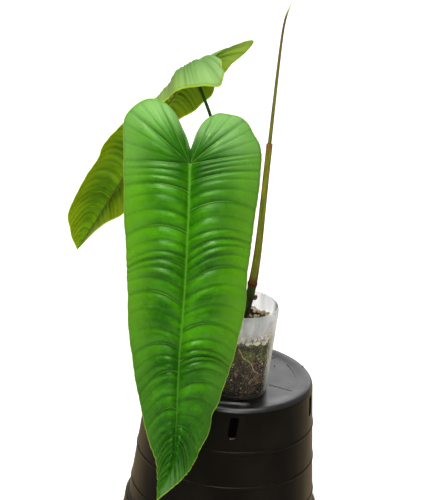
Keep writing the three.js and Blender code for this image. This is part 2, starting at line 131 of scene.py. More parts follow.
def even_path(controls, steps, start=0.0, end=1.0):
    """Points at equal spacing along part of the spline."""
    fine = spline(controls, np.linspace(0, 1, 1500))
    run = np.concatenate([[0], np.cumsum(np.linalg.norm(np.diff(fine, axis=0), axis=1))])
    wanted = np.linspace(start, end, steps + 1) * run[-1]
    return np.stack([np.interp(wanted, run, fine[:, k]) for k in range(3)], axis=1)


def rod(path, sides, radius):
    """A rod along path; radius(share, angle) is in mm."""
    tangents = np.gradient(path, axis=0)
    tangents /= np.linalg.norm(tangents, axis=1)[:, None]
    normal = np.array([1.0, 0.0, 0.0])
    loops = []
    for i, (centre, tangent) in enumerate(zip(path, tangents)):
        normal = normal - tangent * normal.dot(tangent)
        normal /= np.linalg.norm(normal)
        side = np.cross(tangent, normal)
        share = i / (len(path) - 1)
        loops.append([centre + radius(share, a) * (math.cos(a) * normal + math.sin(a) * side)
                      for a in round_angles(sides)])
    return loft(loops)


def add_fact(obj, name, values):
    """A number at each vertex that the piece's material reads."""
    layer = obj.data.attributes.new(name, "FLOAT", "POINT")
    layer.data.foreach_set("value", np.asarray(values, np.float32))


def dress(obj, material, slot, *nodes):
    obj.data.materials.append(material)
    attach(obj, "root")
    if nodes:
        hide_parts(*nodes)


# ---- materials ----
class Shader:
    """A principled material with short names for the nodes the pieces share."""

    def __init__(self, name, roughness, gloss=0.5):
        self.material = bpy.data.materials.new(name)
        self.material.use_nodes = True
        self.tree = self.material.node_tree
        self.principled = self.tree.nodes["Principled BSDF"]
        self.set("Roughness", roughness)
        self.set("Specular IOR Level", gloss)
        self.position = self.node("ShaderNodeTexCoord").outputs["Object"]

    def link(self, value, socket):
        if isinstance(value, (int, float)):
            socket.default_value = value
        elif isinstance(value, tuple):
            socket.default_value = (*value, 1.0) if len(socket.default_value) == 4 else value
        else:
            self.tree.links.new(value, socket)

    def set(self, socket, value):
        self.link(value, self.principled.inputs[socket])

    def colour(self, value):
        self.set("Base Color", value)

    def node(self, kind, inputs=(), **settings):
        """inputs gives a socket a number, a tuple or another node's output."""
        made = self.tree.nodes.new(kind)
        for key, value in settings.items():
            setattr(made, key, value)
        for socket, value in dict(inputs).items():
            self.link(value, made.inputs[socket])
        return made

    def math(self, operation, a, b=0.0, clamp=False):
        sockets = {0: a, 1: b}
        made = self.node("ShaderNodeMath", sockets, operation=operation, use_clamp=clamp)
        return made.outputs[0]

    def times(self, a, b):
        return self.math("MULTIPLY", a, b)

    def noise(self, scale, detail=4.0, roughness=0.55, stretch=None, along=None):
        where = along or self.stretched(stretch)
        sockets = {"Scale": scale, "Detail": detail, "Roughness": roughness, "Vector": where}
        return self.node("ShaderNodeTexNoise", sockets).outputs["Fac"]

    def cells(self, scale, stretch=None):
        sockets = {"Scale": scale, "Vector": self.stretched(stretch)}
        return self.node("ShaderNodeTexVoronoi", sockets).outputs["Distance"]

    def stretched(self, stretch):
        if stretch is None:
            return self.position
        sockets = {"Scale": stretch, "Vector": self.position}
        return self.node("ShaderNodeMapping", sockets).outputs["Vector"]

    def ramp(self, value, low, high, out_low=0.0, out_high=1.0):
        sockets = {"Value": value, "From Min": low, "From Max": high, "To Min": out_low,
                   "To Max": out_high}
        made = self.node("ShaderNodeMapRange", clamp=True, interpolation_type="SMOOTHSTEP",
                         inputs=sockets)
        return made.outputs["Result"]

    def axis(self, name):
        return self.node("ShaderNodeSeparateXYZ", {0: self.position}).outputs[name]

    def by_height(self, low, high, out_low=0.0, out_high=1.0):
        """A ramp between two heights in mm above the top of the mix."""
        return self.ramp(self.axis("Z"), (MIX_TOP + low) * MM, (MIX_TOP + high) * MM,
                         out_low, out_high)

    def mix(self, factor, a, b):
        sockets = {"Factor": factor, "A": a, "B": b}
        return self.node("ShaderNodeMix", sockets, data_type="RGBA").outputs["Result"]

    def tones(self, value, low, high, a, b):
        return self.mix(self.ramp(value, low, high), a, b)

    def attribute(self, name):
        return self.node("ShaderNodeAttribute", attribute_name=name).outputs["Fac"]

    def bump(self, height, strength, distance):
        sockets = {"Strength": strength, "Distance": distance, "Height": height}
        self.set("Normal", self.node("ShaderNodeBump", sockets).outputs["Normal"])


def leaf_material(name, dark, mid, vein, rib, edge, roughness, gloss, sheen_strength, glow=0.0):
    s = Shader(name, roughness, gloss)
    major = s.attribute("major_mm")
    minor = s.attribute("minor_mm")
    midrib = s.attribute("midrib_mm")
    margin = s.attribute("margin_mm")
    across = s.attribute("across")
    broad = s.ramp(s.noise(16.0, 3.0), 0.35, 0.68)
    fine = s.ramp(s.noise(220.0, 5.0), 0.3, 0.75)
    blade = s.mix(broad, dark, mid)
    blade = s.mix(s.times(fine, 0.22), blade, tuple(c * 1.3 for c in mid))
    # Uneven streaks follow the veins: partly the blade's own texture, partly painted shade and
    # painted highlight of its small corrugations.
    lane_sockets = {0: s.times(s.attribute("run"), 4.2), 1: s.times(across, 1.2)}
    lane = s.node("ShaderNodeCombineXYZ", lane_sockets)
    streak = s.noise(1.0, 5.0, 0.68, along=lane.outputs[0])
    blade = s.mix(s.ramp(streak, 0.5, 0.7, 0.0, 0.75), blade, dark)
    blade = s.mix(s.ramp(streak, 0.5, 0.32, 0.0, 0.6), blade, tuple(c * 1.25 for c in mid))
    # Light comes through the upper part of a thin blade and brightens it.
    blade = s.mix(s.by_height(150, 235, 0.0, glow), blade, (0.36, 0.54, 0.022))
    # The blade is a yellower green towards its margin, and painted shade darkens the furrows by the
    # veins.
    outer = s.times(s.ramp(across, 0.35, 0.95, 0.0, 0.7), s.by_height(-120, 80, 0.25, 1.0))
    blade = s.mix(outer, blade, tuple(c * f for c, f in zip(mid, (2.0, 1.3, 1.0))))
    # Painted sheen: a pale reflection of the light above, laid on as colour.
    sheen_mask = s.times(s.attribute("painted_sheen"), s.ramp(s.noise(30.0, 3.0), 0.2, 0.7, 0.5, 1))
    blade = s.mix(s.times(sheen_mask, sheen_strength), blade, (0.23, 0.42, 0.16))
    # Painted shade: the furrows beside the minor and major veins are painted dark.
    inner = s.ramp(across, 0.3, 0.95, 1.0, 0.25)
    blade = s.mix(s.times(s.ramp(minor, 0.1, 2.4, 0.6, 0.0), inner), blade, dark)
    blade = s.mix(s.times(s.ramp(major, 0.3, 3.6, 0.7, 0.0), inner), blade, dark)
    blade = s.mix(s.times(s.attribute("shade"), 0.9), blade, dark)
    fade = s.ramp(across, 0.25, 0.9, 1.0, 0.0)
    wander = s.ramp(s.noise(60.0, 2.0), 0.35, 0.6, 0.35, 1.0)
    major_line = s.times(s.ramp(major, 0.2, 0.6, 0.8, 0.0), fade)
    minor_line = s.times(s.ramp(minor, 0.05, 0.3, 0.22, 0.0), fade)
    blade = s.mix(s.times(minor_line, wander), blade, vein)
    blade = s.mix(s.times(major_line, wander), blade, vein)
    ridge = s.times(s.ramp(midrib, 0.45, 1.05, 0.85, 0.0),
                    s.ramp(s.noise(500.0, 2.0), 0.3, 0.6, 0.65, 1.0))
    blade = s.mix(ridge, blade, rib)
    blade = s.mix(s.by_height(-130, 60, 0.42, 0.0), blade, dark)
    blade = s.mix(s.ramp(margin, 0.3, 0.95, 1.0, 0.0), blade, edge)
    s.colour(blade)
    wear = s.noise(55.0, 4.0)
    s.set("Roughness", s.ramp(wear, 0.3, 0.75, roughness - 0.06, roughness + 0.12))
    s.set("Specular Tint", (0.62, 1.0, 0.42))
    s.bump(streak, 0.45, 0.002)
    return s.material


# ---- leaves ----
# A margin row is [x, y, z, bulge]; the same drawing as the solid blades, in mm.
FRONT_LEAF = {
    "midrib": [(0, 0, 0), (3, -20, -53), (5, -36, -125), (5, -43, -190), (7, -47, -250),
               (7, -46, -295), (-6, -44, -338)],
    "left": [(0, 2, 3, 0), (-6, 11, 23, 3), (-24, 27, 46, 6), (-45, 32, 51, 9),
             (-65, 26, 33, 10), (-64, 13, -6, 10), (-59, -2, -52, 9), (-53, -15, -100, 9),
             (-48, -23, -152, 8), (-38, -28, -208, 7), (-23, -32, -268, 5), (-8, -38, -307, 3),
             (-6, -44, -341, 0)],
    "right": [(0, 2, 3, 0), (4, 12, 27, 3), (12, 24, 38, 6), (27, 30, 43, 9), (53, 28, 34, 10),
              (67, 18, 11, 10), (66, 0, -36, 9), (64, -14, -87, 9), (63, -23, -140, 8),
              (55, -28, -194, 7), (42, -32, -250, 5), (23, -38, -307, 3), (-6, -44, -341, 0)],
    "towards": (0, -0.92, 0.39),
    "rise": 0.12,
    "sink": 0.7,
    "relief": 1.0,
    "wave": 0.45,
    # Small nicks and swells of the margin: place in rows, depth in mm, breadth in rows.
    "dents": {"right": ((9.95, -2.6, 0.12), (10.3, 2.0, 0.14), (3.6, 1.6, 0.3), (4.4, -1.6, 0.3)),
              "left": ((11.2, 1.0, 0.2),)},
    "lobe_row": 5,
    "faces_front": True,
}
BACK_LEAF = {
    "midrib": [(0, 0, 0), (-14, 6, -23), (-41, 21, -81), (-61, 32, -124), (-84, 48, -173),
               (-107, 64, -223)],
    "left": [(3, 0, 3, 0), (13, 0, 11, 5), (26, -6, 16, 10), (31, -18, 8, 15), (27, -30, -2, 19),
             (8, -34, -4, 17), (-13, -30, -11, 13), (-26, -14, -29, 9), (-50, 4, -47, 7),
             (-75, 22, -79, 6), (-97, 38, -122, 4), (-117, 52, -174, 3), (-117, 59, -204, 2),
             (-109, 65, -226, 0)],
    "right": [(3, 0, 3, 0), (17, 12, 12, 2), (33, 24, 21, 3), (56, 35, 27, 4), (45, 28, 10, 5),
              (28, 17, -9, 6), (17, 15, -29, 6), (2, 19, -49, 6), (-21, 28, -70, 6),
              (-38, 36, -103, 5), (-49, 44, -142, 4), (-63, 51, -175, 3), (-86, 57, -196, 2),
              (-109, 65, -226, 0)],
    "towards": (-0.3, 0.5, 0.81),
    "rise": 0.06,
    "sink": 0.3,
    "relief": 0.6,
    "wave": 1.5,
    "dents": {"right": ((3.3, 2.2, 0.3), (4.2, -2.0, 0.25)), "left": ((9.5, 1.5, 0.2),)},
    "lobe_row": 5,
    "faces_front": False,
}
LOBE_VEINS = 4
SIDE_VEINS = 11
STEPS_PER_VEIN = 18
MINOR_PER_VEIN = 3
RIGHT_VEIN_OFFSET = 0.5
RIB_HEIGHT = 2.4
MINOR_RIB_HEIGHT = 2.7
FULL_RIB_SPACING = 14
MIDRIB_HEIGHT = 1.0
MIDRIB_HALF_WIDTH = 1.3
TROUGH_DEPTH = 1.5
TROUGH_HALF_WIDTH = 6.0
LEAF_HALF_THICKNESS = 0.35
# Columns are close together beside the main vein and wider apart beyond it.
NEAR_STEPS = 9
NEAR_REACH = 5.0
FAR_STEPS = 20


def leaf_side(leaf, side, origin):
    """Grid of points (vein lines by steps across) and what the leaf material needs to know."""
    veins = LOBE_VEINS + SIDE_VEINS
    steps = veins * STEPS_PER_VEIN
    v = np.arange(steps + 1) / STEPS_PER_VEIN
    rows = len(leaf[side]) - 1
    low = leaf["lobe_row"]
    below = np.maximum(0, (v - LOBE_VEINS) / SIDE_VEINS)
    # Veins are unevenly spaced, and not quite alike on the two sides.
    loose = np.sin(math.pi * below) ** 0.5
    below = below + 0.17 / SIDE_VEINS * loose * np.sin(2.3 * v)
    lean = 0.16 * loose * np.sin(1.9 * v + 2.0 * len(side))
    # Side veins meet the margin lower and lower than they leave the midrib.
    sink = leaf["sink"] * np.sin(math.pi * below**2)
    row = np.where(v < LOBE_VEINS, v / LOBE_VEINS * low, low + below * (rows - low) + sink + lean)
    down = below * 0.985
    start = spline(leaf["midrib"], down)
    ends = spline(leaf[side], row / rows)
    end, out = ends[:, :3], ends[:, 3:]
    away = end - start
    away = away / np.maximum(1e-6, np.linalg.norm(away, axis=1))[:, None]
    wave = np.sin(2.6 * row + len(side)) + 0.6 * np.sin(6.1 * row + 2 * len(side))
    shift = leaf["wave"] * wave * np.sin(math.pi * np.minimum(1, row / rows)) ** 0.5
    for place, amount, breadth in leaf["dents"].get(side, ()):
        shift = shift + amount * np.exp(-(((row - place) / breadth) ** 2))
    shift[[0, -1]] = 0
    end = end + away * shift[:, None]
    reach = np.linalg.norm(end - start, axis=1)
    rise = (leaf["rise"] + 0.2 * down) * reach * np.minimum(1, down * 8)
    rise[[0, -1]] = 0
    crest = (start + end) / 2 + out * leaf["towards"]
    crest[:, 2] += rise
    control = 2 * crest - (start + end) / 2
    near = np.minimum(NEAR_REACH, reach * 0.3)[:, None] * np.linspace(0, 1, NEAR_STEPS)
    near = near / reach[:, None]
    far = near[:, -1:] + (1 - near[:, -1:]) * np.linspace(0, 1, FAR_STEPS + 1)[1:]
    t = np.concatenate([near, far], axis=1)
    w = t[..., None]
    points = ((1 - w) ** 2 * start[:, None] + 2 * w * (1 - w) * control[:, None]
              + w**2 * end[:, None])
    across_mm = t * reach[:, None]
    # Spacing of neighbouring vein lines, in mm per vein, tells how wide a cell is here.
    spacing = np.linalg.norm(np.gradient(points, axis=0), axis=2) * STEPS_PER_VEIN
    # The veins of the right-hand half leave the midrib between those of the left-hand half.
    offset = RIGHT_VEIN_OFFSET if side == "right" else 0.0
    q = v + offset * np.clip(v - LOBE_VEINS, 0, 1) * np.clip(veins - v, 0, 1)
    phase = np.abs(q - np.round(q))[:, None]
    fine = MINOR_PER_VEIN * q
    minor_phase = np.abs(fine - np.round(fine))[:, None] / MINOR_PER_VEIN
    cell = np.minimum(1, spacing / FULL_RIB_SPACING)
    swell = np.minimum(1, across_mm / 9) * (1 - 0.82 * t**1.7)
    uneven = np.array([0.6 + 0.8 * scatter(math.floor(n + 1e-6), len(side)) for n in fine])
    ribs = RIB_HEIGHT * cell * np.abs(np.sin(math.pi * q))[:, None] ** 0.85
    small = MINOR_RIB_HEIGHT * uneven * np.abs(np.sin(math.pi * fine)) ** 0.9
    small[v < LOBE_VEINS] *= 0.16
    ribs = ribs + small[:, None] * cell
    ribs = ribs * (leaf["relief"] * (0.7 + 0.5 * below))[:, None]
    ribs[v < LOBE_VEINS] *= 1.5
    # Crowded veins by the tip fade into a smoother blade.
    tip = np.clip((below - 0.86) / 0.12, 0, 1)[:, None]
    ribs = ribs * (1 - 0.75 * tip)
    # The main vein stands up from a shallow trough and narrows towards the tip.
    width = MIDRIB_HALF_WIDTH * (1 - 0.6 * np.clip(down, 0, 1))[:, None]
    lobe = (v < LOBE_VEINS)[:, None]
    ridge = MIDRIB_HEIGHT * np.sqrt(np.maximum(0, 1 - (across_mm / width) ** 2))
    trough = -TROUGH_DEPTH * np.exp(-((across_mm / TROUGH_HALF_WIDTH) ** 2))
    trough = trough * np.minimum(1, reach[:, None] / 30)
    height = ribs * swell + np.where(lobe, 0.4, 1.0) * ridge + trough
    height[[0, -1]] = height[[0, -1]] * 0.5
    # A painted sheen, standing for the reflection of the light above, lies on the upturned lobes,
    # and on the right-hand half by the tip.
    painted_sheen = np.where(v < LOBE_VEINS, 1 - (v / LOBE_VEINS) ** 2 * 0.6, 0.4 * np.exp(-below * 14))
    if side == "right":
        painted_sheen = painted_sheen + 0.5 * np.clip(below * 6 - 4.5, 0, 1) * (below < 0.97)
        painted_sheen = painted_sheen[:, None] * np.clip(t * 2.2 - 0.45, 0, 1) * 1.75
    else:
        painted_sheen = painted_sheen[:, None] * np.clip(t * 2.6 - 1.15, 0, 1)
    from_junction = np.linalg.norm(points - points[0, 0], axis=2)
    facts = {
        "major_mm": phase * spacing + 2.0 * tip,
        "minor_mm": minor_phase * spacing + 2.0 * tip,
        "midrib_mm": np.where(lobe & (across_mm > 3.5), 9.0, across_mm * MIDRIB_HALF_WIDTH / width),
        "margin_mm": (1 - t) * reach[:, None],
        "across": t,
        "painted_sheen": np.minimum(1, painted_sheen),
        "shade": np.exp(-((from_junction / 31) ** 2)) * np.clip(t * 6, 0, 1),
        "run": q[:, None] + 0 * t,
    }
    return points + np.array(origin), height, facts


def build_leaf(name, leaf, origin, upper, lower):
    points, faces, heights = [], [], []
    facts, known = {}, {}
    for side in ("left", "right"):
        grid, height, side_facts = leaf_side(leaf, side, origin)
        rows, columns = height.shape
        index = np.zeros((rows, columns), int)
        for i in range(rows):
            for j in range(columns):
                key = tuple(np.round(grid[i, j] * 50).astype(int))
                if key not in known:
                    known[key] = len(points)
                    points.append(grid[i, j])
                    heights.append(height[i, j])
                    for fact, values in side_facts.items():
                        facts.setdefault(fact, []).append(values[i, j])
                index[i, j] = known[key]
        for i in range(rows - 1):
            for j in range(columns - 1):
                loop = [index[i, j], index[i, j + 1], index[i + 1, j + 1], index[i + 1, j]]
                loop = list(dict.fromkeys(loop))
                if len(loop) > 2:
                    faces.append(loop[::-1] if side == "right" else loop)
    points = np.array(points)
    normals = np.zeros_like(points)
    for a, *rest in faces:
        for b, c in zip(rest, rest[1:]):
            normal = np.cross(points[b] - points[a], points[c] - points[a])
            for corner in (a, b, c):
                normals[corner] += normal
    normals /= np.maximum(1e-9, np.linalg.norm(normals, axis=1))[:, None]
    front = normals if leaf["faces_front"] else -normals
    heights = np.array(heights)[:, None]
    sheet = points + front * heights
    top = sheet + normals * LEAF_HALF_THICKNESS
    bottom = sheet - normals * LEAF_HALF_THICKNESS
    count = len(points)
    # A dict keeps the edges in order, which a set would not.
    edges = {edge: True for loop in faces for edge in zip(loop, loop[1:] + loop[:1])}
    every = faces + [[corner + count for corner in loop[::-1]] for loop in faces]
    rim = [(b, a, a + count, b + count) for a, b in edges if (b, a) not in edges]
    obj = make_object(name, np.concatenate([top, bottom]), every + rim)
    for fact, values in facts.items():
        add_fact(obj, fact, values * 2)
    obj.data.materials.append(upper)
    obj.data.materials.append(lower)
    slots = np.zeros(len(obj.data.polygons), int)
    side_faces = len(faces)
    hidden = slice(side_faces, 2 * side_faces) if leaf["faces_front"] else slice(side_faces)
    slots[hidden] = 1
    obj.data.polygons.foreach_set("material_index", slots.tolist())
    return obj


front_junction = (-62, -60, MIX_TOP + 184)
back_junction = (-68, 40, MIX_TOP + 244.5)

upper_front = leaf_material(
    "leaf_upper", (0.009, 0.085, 0.0005), (0.056, 0.262, 0.001), (0.15, 0.38, 0.03),
    (0.10, 0.31, 0.02), (0.33, 0.52, 0.03), 0.3, 0.5, 0.6)
lower_front = leaf_material(
    "leaf_under", (0.07, 0.20, 0.012), (0.12, 0.29, 0.02), (0.20, 0.38, 0.05),
    (0.20, 0.33, 0.05), (0.34, 0.55, 0.06), 0.5, 0.3, 0.2)
upper_back = leaf_material(
    "back_leaf_upper", (0.085, 0.20, 0.04), (0.15, 0.30, 0.08), (0.20, 0.42, 0.08),
    (0.20, 0.38, 0.06), (0.42, 0.62, 0.03), 0.38, 0.4, 0.9)
lower_back = leaf_material(
    "back_leaf_under", (0.045, 0.125, 0.001), (0.13, 0.26, 0.002), (0.24, 0.38, 0.012),
    (0.13, 0.07, 0.01), (0.42, 0.62, 0.02), 0.4, 0.1, 0.25, 0.85)

front_leaf = build_leaf("front_leaf_blade", FRONT_LEAF, front_junction, upper_front, lower_front)
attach(front_leaf, "root")
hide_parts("front_leaf")
back_leaf = build_leaf("back_leaf_blade", BACK_LEAF, back_junction, upper_back, lower_back)
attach(back_leaf, "root")
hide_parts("back_leaf")


# ---- rods: stem, sheath, new leaf, petioles, roots ----
def build_rod(name, path, sides, radius, material, slot, *nodes):
    obj = make_object(name, *rod(path, sides, radius))
    rings = len(path)
    along = np.repeat(np.linspace(0, 1, rings), sides)
    keel = np.tile(np.abs(np.cos(2 * math.pi * np.arange(sides) / sides)), rings)
    for fact, values, ends in (("along", along, [0, 1]), ("keel", keel, [0.5, 0.5])):
        add_fact(obj, fact, np.concatenate([values, ends]))
    dress(obj, material, slot, *nodes)


STEM_DEPTH = 22
SHOOT_STRETCH = 352 / 350
SHOOT_LENGTH = 353.5
STEM_END = 62 / SHOOT_LENGTH
SHEATH_END = 210 / SHOOT_LENGTH
STEM_RADIUS = 4.4
SHOOT = [(x, y, MIX_TOP - STEM_DEPTH + z * SHOOT_STRETCH) for x, y, z in (
    (0, -2, 0), (2.5, 0, 26), (7.5, 3, 48), (11.5, 6, 96), (13, 9, 190), (15, 13, 290),
    (17, 14, 330), (22, 15, 350))]


def stem_material():
    s = Shader("stem_skin", 0.45, 0.2)
    blotch = s.ramp(s.noise(120.0, 4.0, stretch=(1, 1, 0.4)), 0.35, 0.7)
    skin = s.mix(blotch, (0.014, 0.032, 0.004), (0.050, 0.085, 0.010))
    scar = s.ramp(s.noise(420.0, 3.0, stretch=(0.3, 0.3, 1)), 0.58, 0.72)
    skin = s.mix(s.times(scar, 0.5), skin, (0.10, 0.065, 0.035))
    red = s.ramp(s.attribute("along"), 0.93, 0.99)
    skin = s.mix(s.times(red, 0.75), skin, (0.10, 0.022, 0.012))
    s.colour(skin)
    s.bump(s.noise(500.0, 4.0, stretch=(1, 1, 0.3)), 0.35, 0.0006)
    return s.material


def sheath_material():
    s = Shader("sheath_skin", 0.42, 0.1)
    along, keel = s.attribute("along"), s.attribute("keel")
    fibre = s.noise(160.0, 4.0, stretch=(6, 6, 0.25))
    core = s.tones(fibre, 0.3, 0.7, (0.11, 0.145, 0.006), (0.25, 0.28, 0.018))
    red = s.tones(fibre, 0.35, 0.65, (0.15, 0.036, 0.012), (0.29, 0.095, 0.032))
    edge = s.ramp(s.math("ADD", keel, s.times(s.noise(60.0, 3.0), 0.35)), 0.78, 1.08)
    skin = s.mix(edge, core, red)
    skin = s.mix(s.ramp(along, 0.93, 1.0, 0.0, 0.85), skin, red)
    skin = s.mix(s.ramp(along, 0.0, 0.1, 0.9, 0.0), skin, (0.11, 0.018, 0.012))
    s.colour(skin)
    s.bump(fibre, 0.3, 0.0005)
    return s.material


def spike_material():
    s = Shader("spike_skin", 0.4, 0.2)
    along, keel = s.attribute("along"), s.attribute("keel")
    fibre = s.noise(140.0, 4.0, stretch=(5, 5, 0.3))
    brown = s.tones(fibre, 0.3, 0.7, (0.060, 0.030, 0.007), (0.16, 0.085, 0.018))
    green = s.tones(fibre, 0.3, 0.7, (0.10, 0.11, 0.008), (0.19, 0.19, 0.02))
    skin = s.tones(keel, 0.4, 0.9, green, brown)
    skin = s.mix(s.ramp(along, 0.3, 0.75, 0.0, 0.55), skin, brown)
    skin = s.tones(along, 0.9, 0.985, skin, (0.36, 0.52, 0.08))
    s.colour(skin)
    s.bump(fibre, 0.25, 0.0004)
    return s.material


def petiole_material():
    s = Shader("petiole_skin", 0.35, 0.2)
    fibre = s.noise(180.0, 4.0, stretch=(4, 4, 0.3))
    skin = s.tones(fibre, 0.3, 0.7, (0.012, 0.050, 0.004), (0.035, 0.105, 0.010))
    fleck = s.ramp(s.cells(700.0, stretch=(1, 1, 0.3)), 0.0, 0.16, 1.0, 0.0)
    skin = s.mix(s.times(fleck, 0.35), skin, (0.13, 0.20, 0.06))
    s.colour(skin)
    s.bump(fibre, 0.2, 0.0004)
    return s.material


def stem_radius(share, angle):
    swell = sum(0.55 * math.exp(-(((share - at) / 0.03) ** 2)) for at in (0.62, 0.8, 0.985))
    return STEM_RADIUS + swell + 0.12 * math.sin(3 * angle + 9 * share)


def sheath_radius(share, angle):
    base = 2.8 + 1.5 * (1 - share) ** 2.6
    collar = 0.7 * math.exp(-((share / 0.012) ** 2))
    keel = 0.28 * abs(math.cos(angle)) ** 6
    torn = 0.0 if share < 0.97 else -0.25 * math.sin(3 * angle)
    return base + collar + keel + 0.07 * math.cos(11 * angle) + torn


def spike_radius(share, angle):
    body = 0.95 + 1.0 * (1 - share) ** 0.9
    body *= 1 - 0.75 * max(0.0, (share - 0.9) / 0.1) ** 1.3
    seam = -0.16 * math.exp(-(((angle - 4.3 - 2.0 * share) / 0.3) ** 2))
    return body + seam * (1 - share)


def build_shoot():
    build_rod("stem_body", even_path(SHOOT, 60, 0, STEM_END), 28, stem_radius,
              stem_material(), "stem_green", "stem")
    build_rod("sheath_body", even_path(SHOOT, 110, STEM_END + 0.001, SHEATH_END), 44,
              sheath_radius, sheath_material(), "sheath_olive", "leaf_sheath")
    build_rod("rolled_leaf", even_path(SHOOT, 120, SHEATH_END - 0.03, 1), 26, spike_radius,
              spike_material(), "spike_olive", "new_leaf_spike")
    low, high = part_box("side_bud")
    x, y, z = ((low + high) / 2 - ORIGIN) / MM
    path = [(x - 2.2, y, z - 2.5), (x - 0.3, y, z), (x, y, z + 3.0)]
    s = Shader("bud_skin", 0.45)
    s.colour(s.tones(s.noise(500.0), 0.3, 0.7, (0.16, 0.035, 0.018), (0.30, 0.09, 0.04)))
    build_rod("bud_body", even_path(path, 14), 16,
              lambda t, a: 1.7 * math.sqrt(max(0.01, math.sin(math.pi * (0.12 + 0.86 * t)))),
              s.material, "bud_red", "side_bud")


CLASP_REACH = 9 * 0.55 + 4.0 * 0.6 + 0.8
PETIOLE_RADIUS = 2.25


def petiole_path(share, out, bends, end):
    base = even_path(SHOOT, 1000)[int(share * 1000)]
    start = base + np.array([out[0] * CLASP_REACH, out[1] * CLASP_REACH, 0])
    rise = np.array(end) - start
    return [start] + [start + np.array(bend) * rise for bend in bends] + [np.array(end)]


def petiole_radius(share, _angle):
    """Each stalk swells where it clasps the stem and again under its blade."""
    clasp = 0.9 * math.exp(-((share / 0.05) ** 2))
    knee = 0.35 * math.exp(-(((share - 0.97) / 0.04) ** 2))
    return PETIOLE_RADIUS - 0.75 * share + clasp + knee


def build_petioles():
    skin = petiole_material()
    front_end = np.array(front_junction) + np.array([1, 1, -0.7]) * 3.2
    back_end = np.array(back_junction) + np.array([1, -0.7, -1]) * 3.2
    front = petiole_path(0.115, (-0.7, -0.71), [(0.3, 0.2, 0.4), (0.7, 0.6, 0.8)], front_end)
    back = petiole_path(0.14, (-0.94, 0.34), [(0.28, 0.4, 0.4), (0.64, 0.75, 0.76)], back_end)
    for name, path, node in (("front_stalk", front, "front_petiole"),
                             ("back_stalk", back, "back_petiole")):
        build_rod(name, even_path(path, 90), 24, petiole_radius, skin, "petiole_green", node)


# ---- clear pot ----
POT_HEIGHT = 93.0
POT_BASE_RADIUS = 33.4
POT_RIM_RADIUS = 38.0
POT_LIP_HEIGHT = 88.0
POT_WALL = 1.05
POT_FOOT = 1.6
MIX_GAP = 2.2


def pot_radius(h):
    return POT_BASE_RADIUS + (POT_RIM_RADIUS - POT_BASE_RADIUS) * h / POT_LIP_HEIGHT


def build_clear_pot():
    outer = [(0, 0.8), (28.5, 0.8), (30.0, 0.0), (32.0, 0.0), (33.1, 0.5), (33.5, POT_FOOT)]
    for i in range(1, 44):
        h = POT_FOOT + 86.4 * i / 43
        step = 0.25 if h > 79 else 0.0
        outer.append((pot_radius(h) + step, h))
    lip = [(37.9, 90.0), (37.6, 91.6), (37.2, 92.6), (36.8, 93.0), (36.4, 92.8), (36.4, 91.4)]
    inner = [(pot_radius(h) - POT_WALL, h) for h in (POT_LIP_HEIGHT, 70, 50, 30, 10, 2.4)]
    profile = outer + lip + inner + [(31.0, 1.7), (0, 1.7)]
    points, faces = revolve(profile, 128)
    points[:, 2] += POT_BASE_Z
    obj = make_object("clear_pot_wall", points, faces)
    obj.data.set_sharp_from_angle(angle=math.radians(50))
    s = Shader("milky_plastic", 0.3)
    streak = s.noise(90.0, 4.0, stretch=(1, 1, 0.25))
    # The wall is milky where it is empty and clear where the mix wets it.
    haze = s.times(s.by_height(-16, 4, 0.025, 0.36), s.ramp(streak, 0.35, 0.75, 0.8, 1.5))
    facing = s.node("ShaderNodeLayerWeight", {"Blend": 0.5})
    rim = s.ramp(facing.outputs["Facing"], 0.5, 0.9, 0.0, 0.72)
    s.colour(s.mix(s.by_height(-20, 0), (0.68, 0.70, 0.58), (0.78, 0.79, 0.78)))
    s.set("Alpha", s.math("ADD", haze, rim, True))
    s.set("Specular IOR Level", 0.2)
    s.bump(streak, 0.1, 0.0003)
    dress(obj, s.material, "clear_plastic", "clear_pot")


# ---- growing mix, lumps, chips, roots ----
def lump(centre, size, squash, seed):
    """One rough stone-like lump: a ball of rings pushed in and out."""
    rings, sides = 7, 10
    turn = 6.28 * scatter(seed, 3)
    tip = 0.9 * (scatter(seed, 9) - 0.5)
    loops = []
    for i in range(1, rings):
        polar = math.pi * i / rings
        loop = []
        for k, a in enumerate(round_angles(sides)):
            r = size / 2 * (0.74 + 0.45 * scatter(seed * 31 + i * 7 + k, 5))
            x, y = r * math.sin(polar) * math.cos(a), 0.85 * r * math.sin(polar) * math.sin(a)
            z = -r * squash * math.cos(polar)
            x, z = x * math.cos(tip) - z * math.sin(tip), x * math.sin(tip) + z * math.cos(tip)
            loop.append((centre[0] + x * math.cos(turn) - y * math.sin(turn),
                         centre[1] + x * math.sin(turn) + y * math.cos(turn), centre[2] + z))
        loops.append(loop)
    return loft(loops)


def join(parts):
    points, faces, shift = [], [], 0
    for some_points, some_faces in parts:
        points.append(some_points)
        faces += [tuple(corner + shift for corner in face) for face in some_faces]
        shift += len(some_points)
    return np.concatenate(points), faces


def mix_radius(z):
    return pot_radius(z - POT_BASE_Z) - MIX_GAP


